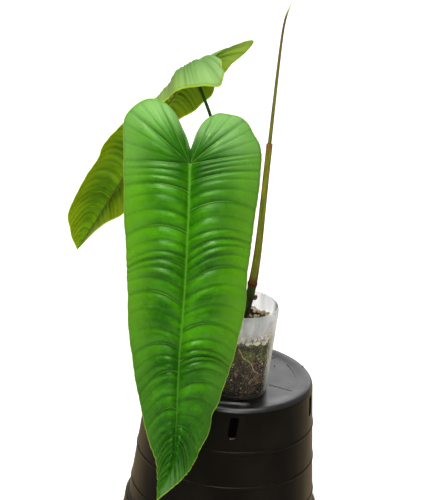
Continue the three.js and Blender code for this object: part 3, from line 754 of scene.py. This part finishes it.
def build_mix():
    loops = []
    bottom = POT_BASE_Z + 2.4
    wall = [(mix_radius(bottom) - 2, bottom)]
    wall += [(mix_radius(z), z) for z in np.linspace(bottom + 1, MIX_TOP - 1.5, 64)]
    reach = mix_radius(MIX_TOP)
    wall += [(r, MIX_TOP + 0.4 - (r / reach) ** 2) for r in np.linspace(reach - 1.0, 1.5, 26)]
    for i, (r, z) in enumerate(wall):
        loop = []
        for k, a in enumerate(round_angles(220)):
            n = math.sin(9.7 * a + 0.8 * i) * math.sin(23.0 * a - 1.7 * i)
            n += 0.8 * (scatter(i * 311 + k, 2) - 0.5)
            top = z > MIX_TOP - 1.2
            rr = r if top else r + 0.45 * n
            zz = z + (0.7 * n if top else 0.0)
            loop.append((rr * math.cos(a), rr * math.sin(a), zz))
        loops.append(loop)
    obj = make_object("mix_body", *loft(loops))
    s = Shader("potting_mix", 0.85, 0.1)
    grain = s.noise(420.0, 6.0, 0.7)
    soil = s.tones(grain, 0.35, 0.72, (0.009, 0.0055, 0.004), (0.080, 0.046, 0.026))
    clods = s.ramp(s.noise(130.0, 3.0), 0.5, 0.66)
    clod = s.tones(grain, 0.3, 0.7, (0.06, 0.030, 0.012), (0.24, 0.13, 0.05))
    soil = s.mix(clods, soil, clod)
    crumbs = s.ramp(s.cells(300.0), 0.12, 0.3, 1.0, 0.0)
    pick = s.ramp(s.noise(150.0, 2.0), 0.52, 0.6)
    soil = s.mix(s.times(crumbs, pick), soil, (0.16, 0.085, 0.035))
    speck = s.ramp(s.cells(210.0), 0.10, 0.20, 1.0, 0.0)
    some = s.ramp(s.noise(95.0, 2.0), 0.57, 0.63)
    soil = s.mix(s.times(speck, some), soil, (0.62, 0.42, 0.21))
    # Green film where light reaches the wall below the lumps, on the right-hand side.
    high = s.times(s.by_height(-44, -26), s.by_height(-14, -8, 1.0, 0.0))
    right = s.ramp(s.axis("X"), ORIGIN.x - 12 * MM, ORIGIN.x + 14 * MM)
    patch = s.ramp(s.noise(70.0, 4.0), 0.38, 0.58)
    moss = s.times(s.times(high, right), patch)
    green = s.tones(grain, 0.3, 0.7, (0.045, 0.065, 0.008), (0.14, 0.17, 0.03))
    soil = s.mix(s.times(moss, 0.85), soil, green)
    soil = s.mix(s.by_height(-74, -52, 0.6, 0.0), soil, (0.008, 0.005, 0.004))
    soil = s.mix(s.times(s.by_height(-14, -9), 0.6), soil, (0.20, 0.15, 0.09))
    s.colour(soil)
    s.bump(grain, 0.8, 0.0012)
    dress(obj, s.material, "potting_mix", "growing_mix")


def ring_lumps(count, top, depth, size, squash, channel):
    made = []
    for i in range(count):
        z = top - depth * scatter(i, channel)
        a = GOLDEN_ANGLE * i + 0.5 * scatter(i, channel + 1)
        big = size * (0.65 + 0.7 * scatter(i, channel + 2))
        r = mix_radius(z) + 0.4 - big * 0.12
        centre = (r * math.cos(a), r * math.sin(a), z)
        made.append(lump(centre, big, squash, i + 40 * channel))
    return made


def top_lumps(count, size, squash, channel, sink):
    made = []
    for i in range(count):
        r = (mix_radius(MIX_TOP) - 1.5) * math.sqrt(0.04 + 0.96 * scatter(i, channel))
        a = GOLDEN_ANGLE * i + scatter(i, channel + 1)
        big = size * (0.6 + 0.8 * scatter(i, channel + 2))
        centre = (r * math.cos(a), r * math.sin(a), MIX_TOP + big * squash * sink)
        if math.hypot(centre[0] - 4, centre[1]) > 6.5:
            made.append(lump(centre, big, squash, i + 57 * channel))
    return made


def node_lumps(names, share, squash, seed):
    """A lump where each named solid lies, share times as wide."""
    made = []
    for i, node in enumerate(names):
        low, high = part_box(node)
        middle = ((low + high) / 2 - ORIGIN) / MM
        made.append(lump(middle, share * (high.x - low.x) / MM, squash, i + seed))
    return made


def build_lumps():
    names = [f"pumice_{i:02d}" for i in range(1, 13)]
    lumps = node_lumps(names, 1.15, 0.8, 900)
    lumps += top_lumps(150, 3.6, 0.8, 11, 0.55)
    lumps += ring_lumps(230, MIX_TOP - 0.5, 12.5, 4.4, 0.85, 21)
    obj = make_object("pumice_lumps", *join(lumps), smooth=False)
    s = Shader("pumice", 0.9, 0.1)
    tint = s.ramp(s.noise(75.0, 3.0), 0.36, 0.64)
    stone = s.mix(tint, (0.46, 0.38, 0.22), (0.84, 0.77, 0.56))
    stone = s.mix(s.ramp(s.noise(900.0, 5.0), 0.45, 0.75, 0.0, 0.45), stone, (0.22, 0.16, 0.09))
    s.colour(stone)
    s.bump(s.noise(1500.0, 4.0), 0.6, 0.0004)
    dress(obj, s.material, "pumice", *names)

    names = [f"bark_{i:02d}" for i in range(1, 9)]
    chips = node_lumps(names, 1.2, 0.45, 700)
    chips += top_lumps(60, 4.6, 0.5, 51, 1.2)
    chips += ring_lumps(40, MIX_TOP - 2, 12, 2.6, 0.8, 61)
    obj = make_object("bark_chips", *join(chips), smooth=False)
    s = Shader("bark", 0.85, 0.15)
    grain = s.noise(500.0, 5.0, stretch=(1, 3, 1))
    s.colour(s.tones(grain, 0.35, 0.7, (0.012, 0.007, 0.004), (0.075, 0.036, 0.018)))
    s.bump(grain, 0.6, 0.0006)
    dress(obj, s.material, "bark", *names)

    crumbs = ring_lumps(110, MIX_TOP - 14, 70, 1.9, 0.9, 31)
    obj = make_object("tan_crumbs", *join(crumbs), smooth=False)
    s = Shader("tan_crumb", 0.85, 0.1)
    s.colour(s.tones(s.noise(90.0, 2.0), 0.4, 0.6, (0.24, 0.11, 0.04), (0.56, 0.36, 0.17)))
    dress(obj, s.material, "potting_mix")


def build_roots():
    s = Shader("root_skin", 0.75)
    fibre = s.noise(300.0, 4.0, stretch=(1, 1, 0.3))
    s.colour(s.tones(fibre, 0.3, 0.7, (0.22, 0.12, 0.045), (0.50, 0.34, 0.17)))
    s.bump(fibre, 0.4, 0.0005)
    # Start and turn in degrees, then the upper and lower end as shares of the pot's height.
    drawn = ((-28, 8, 0.78, 0.16), (-92, 46, 0.62, 0.28), (165, -30, 0.7, 0.2),
             (70, 24, 0.66, 0.12))
    for index, (start, turn, high, low) in enumerate(drawn):
        path = []
        for i in range(7):
            h = POT_HEIGHT * (high + (low - high) * i / 6)
            a = math.radians(start + turn * i / 6 + 3 * math.sin(2.1 * i + index))
            r = pot_radius(h) - 2.4
            path.append((r * math.cos(a), r * math.sin(a), POT_BASE_Z + h))
        build_rod(f"root_body_{index + 1}", even_path(path, 60), 10,
                  lambda t, a: 0.72 - 0.25 * t, s.material, "root_tan", f"wall_root_{index + 1}")


# ---- display stand ----
STAND_AXIS = (-3.5, 27.0)
STAND_TOP = 166.0
STAND_RADIUS = 84.8
STAND_SLOPE = math.tan(math.radians(5.3))
STAND_WALL = 2.2
COLLAR_TOP = 24.0
COLLAR_STEP = 3.4
FILLET = 6.0
RING_LEVELS = (0.256 * STAND_TOP, 0.491 * STAND_TOP, 0.723 * STAND_TOP)
RING_HALF_HEIGHT = 1.7
RING_STEP = 0.75
SLOT_ANGLES = [-86.5 + 72 * i for i in range(5)]
SLOT_DROP = 17.7
SHOULDER = STAND_TOP - 8


def stand_radius(z):
    return STAND_RADIUS + (STAND_TOP - z) * STAND_SLOPE


def stand_profile():
    foot = stand_radius(0)
    inner = [(0, 163.8), (78.0, 163.8), (80.4, 162.6)]
    inner += [(stand_radius(z) - STAND_WALL, z) for z in (160, 130, 100, 70, 40, 22)]
    inner += [(stand_radius(20) + COLLAR_STEP - STAND_WALL, 20), (foot + 1.3, 1.0),
              (foot + 1.8, 0.0)]
    outer = [(foot + COLLAR_STEP - 0.8, 0.0), (foot + COLLAR_STEP, 0.8),
             (foot + COLLAR_STEP + 0.7, 1.6), (foot + COLLAR_STEP, 4.0)]
    outer += [(stand_radius(z) + COLLAR_STEP, z) for z in (10, 16, COLLAR_TOP - 2.2)]
    outer += [(stand_radius(COLLAR_TOP) + COLLAR_STEP - 0.3, COLLAR_TOP - 1.0),
              (stand_radius(COLLAR_TOP) + COLLAR_STEP - 1.2, COLLAR_TOP),
              (stand_radius(COLLAR_TOP) + 0.6, COLLAR_TOP + 0.4),
              (stand_radius(COLLAR_TOP + 1.6), COLLAR_TOP + 1.6)]
    last = COLLAR_TOP + 1.6
    for level in RING_LEVELS:
        outer += [(stand_radius(z), z) for z in np.linspace(last + 6, level - 3.2, 6)]
        for k in range(9):
            a = math.pi * k / 8
            z = level - RING_HALF_HEIGHT * math.cos(a)
            outer.append((stand_radius(z) + RING_STEP * math.sin(a), z))
        last = level + RING_HALF_HEIGHT
    base = STAND_TOP - FILLET
    outer += [(stand_radius(z), z) for z in np.linspace(last + 3, base - 1, 7)]
    for k in range(13):
        a = math.pi / 2 * k / 12
        outer.append((stand_radius(base) - FILLET * (1 - math.cos(a)),
                      base + (FILLET + 1.2) * math.sin(a)))
    ring = stand_radius(base) - FILLET
    top = [(ring - 3, STAND_TOP + 1.1), (ring - 6, STAND_TOP + 0.8), (ring - 9, STAND_TOP + 0.35),
           (ring - 12, STAND_TOP)]
    top += [(r, STAND_TOP) for r in (60.0, 45.0, 30.0, 12.0, 0)]
    return inner + outer + top


def turned(x, y, angle):
    c, s = math.cos(angle), math.sin(angle)
    return STAND_AXIS[0] + x * c - y * s, STAND_AXIS[1] + x * s + y * c


def slot_points(angle):
    """A rounded, slightly leaning slot cutter; x is outwards."""
    outline = []
    for corner_y, corner_z, first in ((2.0, 8.0, 0), (-2.0, 8.0, 90), (-2.0, -8.0, 180),
                                      (2.0, -8.0, 270)):
        for k in range(5):
            a = math.radians(first + 22.5 * k)
            y, z = corner_y + 2.4 * math.cos(a), corner_z + 2.6 * math.sin(a)
            outline.append((y + 0.08 * z, STAND_TOP - SLOT_DROP + z))
    return loft([[(*turned(x, y, angle), z) for y, z in outline] for x in (74, 96)])


def arc_bar(radius, width, low, high, start, stop):
    """A thin raised bar that follows a circle round the stand's axis."""
    loops = []
    for i in range(25):
        a = math.radians(start + (stop - start) * i / 24)
        w = width / 2 * min(1.0, 0.25 + 3 * min(i, 24 - i) / 24)
        crown = high * 0.45 + (low + 1.1) * 0.55
        ring = ((radius - w, low), (radius + w, low), (radius + w, low + 1.1), (radius, crown),
                (radius - w * 0.8, high), (radius - w, high - 0.2))
        loops.append([(*turned(r, 0, a), z) for r, z in ring])
    return loft(loops)


def stand_material(name, gloss, tint, dim=1.0):
    s = Shader(name, 0.36, gloss)
    s.set("Specular Tint", tint)
    smudge = s.noise(22.0, 4.0)
    scuff = s.noise(60.0, 5.0, 0.65, stretch=(1, 1, 0.12))
    # A dim below 1 paints the colour darker, as painted shade.
    black = s.tones(smudge, 0.35, 0.7, tuple(c * dim for c in (0.0036, 0.0029, 0.0018)),
                  tuple(c * dim for c in (0.0078, 0.0064, 0.0042)))
    dust = s.ramp(s.cells(380.0), 0.0, 0.10, 1.0, 0.0)
    some = s.ramp(s.noise(40.0, 2.0), 0.58, 0.66)
    black = s.mix(s.times(s.times(dust, some), 0.35), black, (0.16, 0.15, 0.14))
    s.colour(black)
    s.set("Roughness", s.ramp(scuff, 0.3, 0.75, 0.27, 0.46))
    s.bump(s.math("ADD", scuff, s.times(s.noise(1300.0, 3.0), 0.4)), 0.08, 0.0004)
    return s.material


def build_stand():
    obj = make_object("stand_body", *revolve(stand_profile(), 256, STAND_AXIS))
    slots = join([slot_points(math.radians(angle)) for angle in SLOT_ANGLES])
    cutter = make_object("slot_cutter", *slots, smooth=False)
    cut = obj.modifiers.new("slots", "BOOLEAN")
    cut.object = cutter
    cut.operation = "DIFFERENCE"
    cut.solver = "EXACT"
    evaluated = obj.evaluated_get(bpy.context.evaluated_depsgraph_get())
    obj.data = bpy.data.meshes.new_from_object(evaluated)
    obj.modifiers.clear()
    bpy.data.objects.remove(cutter)
    obj.data.set_sharp_from_angle(angle=math.radians(32))
    side = stand_material("black_side", 0.35, (1.0, 0.85, 0.62))
    dress(obj, side, "black_plastic", "display_stand")
    top = stand_material("black_top", 0.9, (0.93, 0.96, 1.0))
    coat = top.node_tree.nodes["Principled BSDF"].inputs
    coat["Coat Weight"].default_value = 0.8
    coat["Coat Roughness"].default_value = 0.3
    obj.data.materials.append(top)
    # Painted shade: the inside and the slots' own walls are painted darker than the outside.
    inside = stand_material("black_inside_shade", 0.1, (1.0, 0.9, 0.75), 0.35)
    obj.data.materials.append(inside)
    kinds = []
    for face in obj.data.polygons:
        x, y, z = (face.center - ORIGIN) / MM
        reach = math.hypot(x - STAND_AXIS[0], y - STAND_AXIS[1])
        upper = face.normal.z > 0.45 and z > SHOULDER
        inner = z < SHOULDER and reach < stand_radius(z) - 0.8
        kinds.append(1 if upper else 2 if inner else 0)
    obj.data.polygons.foreach_set("material_index", kinds)
    return obj


def build_stand_details(material):
    """Moulded bars and lines that stand a little proud of the top, and flash by the slots."""
    top = STAND_TOP
    bars = [arc_bar(70.5, 3.4, top - 1, top + 2.0, -121, -73),
            arc_bar(67.6, 0.9, top - 1, top + 0.5, 4, 31)]
    for i in range(5):
        angle = math.radians(-23.5 + 72 * i)
        loops = []
        for x in np.linspace(43, 71, 8):
            ring = ((-0.45, top - 1), (0.45, top - 1), (0.45, top + 0.25), (0, top + 0.45),
                    (-0.45, top + 0.25))
            loops.append([(*turned(x, y, angle), z) for y, z in ring])
        bars.append(loft(loops))
    obj = make_object("stand_bars", *join(bars), smooth=False)
    dress(obj, material, "black_plastic")
    flash = []
    reach = stand_radius(top - 30) + 0.1
    for i, a in enumerate(SLOT_ANGLES):
        loops = []
        for k in range(7):
            y = -2.6 + 5.2 * k / 6
            x, z = reach + 0.5 * math.sin(0.9 * k), top - 29.6 - 0.5 * math.sin(0.6 * k + i)
            ring = ((x - 0.6, z - 0.5), (x + 0.5, z - 0.3), (x + 0.7, z + 0.4), (x - 0.6, z + 0.6))
            loops.append([(*turned(rx, y, math.radians(a)), rz) for rx, rz in ring])
        flash.append(loft(loops))
    obj = make_object("slot_flash", *join(flash))
    s = Shader("scuffed_plastic", 0.5)
    s.colour(s.tones(s.noise(400.0), 0.4, 0.6, (0.02, 0.02, 0.02), (0.22, 0.22, 0.21)))
    dress(obj, s.material, "black_plastic")
    crumbs = []
    for i, (r, a, size) in enumerate(((81, 23, 2.4), (53, 32, 1.5), (64, -112, 2.2),
                                      (58, 64, 1.6), (72, 120, 1.8), (60, 205, 2.0))):
        centre = (*turned(r, 0, math.radians(a)), top + (1.3 if r > 75 else 0.5))
        crumbs.append(lump(centre, size, 0.6, 300 + i))
    obj = make_object("spilled_crumbs", *join(crumbs), smooth=False)
    s = Shader("crumb", 0.8, 0.15)
    s.colour(s.tones(s.noise(60.0), 0.45, 0.55, (0.05, 0.025, 0.012), (0.30, 0.17, 0.08)))
    dress(obj, s.material, "bark")


build_shoot()
build_petioles()
build_clear_pot()
build_mix()
build_lumps()
build_roots()
stand = build_stand()
build_stand_details(stand.data.materials[1])


# ---- floor, light, camera ----
STAGE_REACH = 9e3
LIGHT_AIM = Vector((0.0, 0.0, 0.3))


def glowing_material(name, roughness, gloss, tone, strength):
    s = Shader(name, roughness, gloss)
    s.colour((tone, tone, tone))
    s.set("Emission Color", (1.0, 1.0, 1.0))
    s.set("Emission Strength", strength)
    # It is too large and dim to be worth aiming light samples at.
    s.material.cycles.emission_sampling = "NONE"
    return s.material


def build_floor():
    corners = [(x * STAGE_REACH, y * STAGE_REACH) for x, y in ((-1, -1), (1, -1), (1, 1), (-1, 1))]
    slab = loft([[(x, y, z) for x, y in corners] for z in (-1, -0.2)])
    floor = make_object("floor", *slab, smooth=False)
    floor.data.materials.append(glowing_material("floor_white", 0.9, 0.1, 0.9, 0.46))
    floor.visible_glossy = False
    # A far white backdrop that is only looked at and neither lights nor shades anything.
    rings = [[(STAGE_REACH * math.cos(a), STAGE_REACH * math.sin(a), z) for a in round_angles(48)]
             for z in (-20, 6e3)]
    backdrop = make_object("backdrop", *loft(rings, closed_ends=False))
    backdrop.data.materials.append(glowing_material("backdrop_white", 1.0, 0.5, 0.0, 1.0))
    backdrop.visible_diffuse = False
    backdrop.visible_glossy = False
    backdrop.visible_shadow = False


def add_light(name, place, size, power):
    data = bpy.data.lights.new(name, "AREA")
    data.shape = "RECTANGLE"
    data.size, data.size_y = size
    data.energy = power
    light = bpy.data.objects.new(name, data)
    light.location = place
    light.rotation_mode = "QUATERNION"
    light.rotation_quaternion = (LIGHT_AIM - Vector(place)).to_track_quat("-Z", "Y")
    light.visible_camera = False
    show(light)


def build_light():
    world = bpy.data.worlds.new("studio")
    world.use_nodes = True
    # A dim room that is warmer and brighter low down behind the object.
    nodes, links = world.node_tree.nodes, world.node_tree.links
    where = nodes.new("ShaderNodeTexCoord")
    split = nodes.new("ShaderNodeSeparateXYZ")
    links.new(where.outputs["Generated"], split.inputs[0])
    behind = nodes.new("ShaderNodeMapRange")
    below = nodes.new("ShaderNodeMapRange")
    for ramp, source, start, end in ((behind, "Y", 0.1, 0.7), (below, "Z", 0.02, -0.12)):
        links.new(split.outputs[source], ramp.inputs["Value"])
        ramp.inputs["From Min"].default_value = start
        ramp.inputs["From Max"].default_value = end
    both = nodes.new("ShaderNodeMath")
    both.operation = "MULTIPLY"
    links.new(behind.outputs["Result"], both.inputs[0])
    links.new(below.outputs["Result"], both.inputs[1])
    blend = nodes.new("ShaderNodeMix")
    blend.data_type = "RGBA"
    links.new(both.outputs[0], blend.inputs["Factor"])
    blend.inputs["A"].default_value = (0.14, 0.14, 0.14, 1)
    blend.inputs["B"].default_value = (0.55, 0.43, 0.27, 1)
    links.new(blend.outputs["Result"], nodes["Background"].inputs["Color"])
    world.cycles.sampling_method = "NONE"
    bpy.context.scene.world = world
    bpy.context.scene.view_settings.view_transform = "Standard"
    data = bpy.data.lights.new("soft_sun", "SUN")
    data.energy = 1.5
    data.angle = math.radians(22)
    sun = bpy.data.objects.new("soft_sun", data)
    sun.rotation_mode = "QUATERNION"
    sun.rotation_quaternion = Vector((0.28, 0.34, -1.0)).to_track_quat("-Z", "Y")
    show(sun)
    add_light("overhead", (-0.2, -0.1, 1.8), (1.5, 1.5), 21)
    add_light("key", (-0.3, -1.7, 1.8), (2.0, 0.35), 15)
    add_light("back_card", (0.2, 2.7, 1.1), (3.4, 1.4), 16)


CAMERA_ELEVATION = math.radians(22.0)
CAMERA_ROLL = math.radians(4.8)
CAMERA_DISTANCE = 2000.0
CAMERA_LENS = 144.0
SENSOR_WIDTH = 36.0
# The point in the middle of the picture, in mm from ORIGIN.
CAMERA_AIM = Vector((-32.9, 0, RIM_Z + 54.9))


def build_camera():
    data = bpy.data.cameras.new("camera")
    data.lens = CAMERA_LENS
    data.sensor_width = SENSOR_WIDTH
    camera = bpy.data.objects.new("camera", data)
    c, s = math.cos(CAMERA_ELEVATION), math.sin(CAMERA_ELEVATION)
    forward, up, right = Vector((0, c, -s)), Vector((0, s, c)), Vector((1, 0, 0))
    cr, sr = math.cos(CAMERA_ROLL), math.sin(CAMERA_ROLL)
    x_axis = right * cr + up * sr
    y_axis = up * cr - right * sr
    place = ORIGIN + CAMERA_AIM * MM - forward * CAMERA_DISTANCE * MM
    turn = Matrix((x_axis, y_axis, -forward)).transposed().to_4x4()
    camera.matrix_world = Matrix.Translation(place) @ turn
    show(camera)
    bpy.context.scene.camera = camera


build_floor()
build_light()
build_camera()
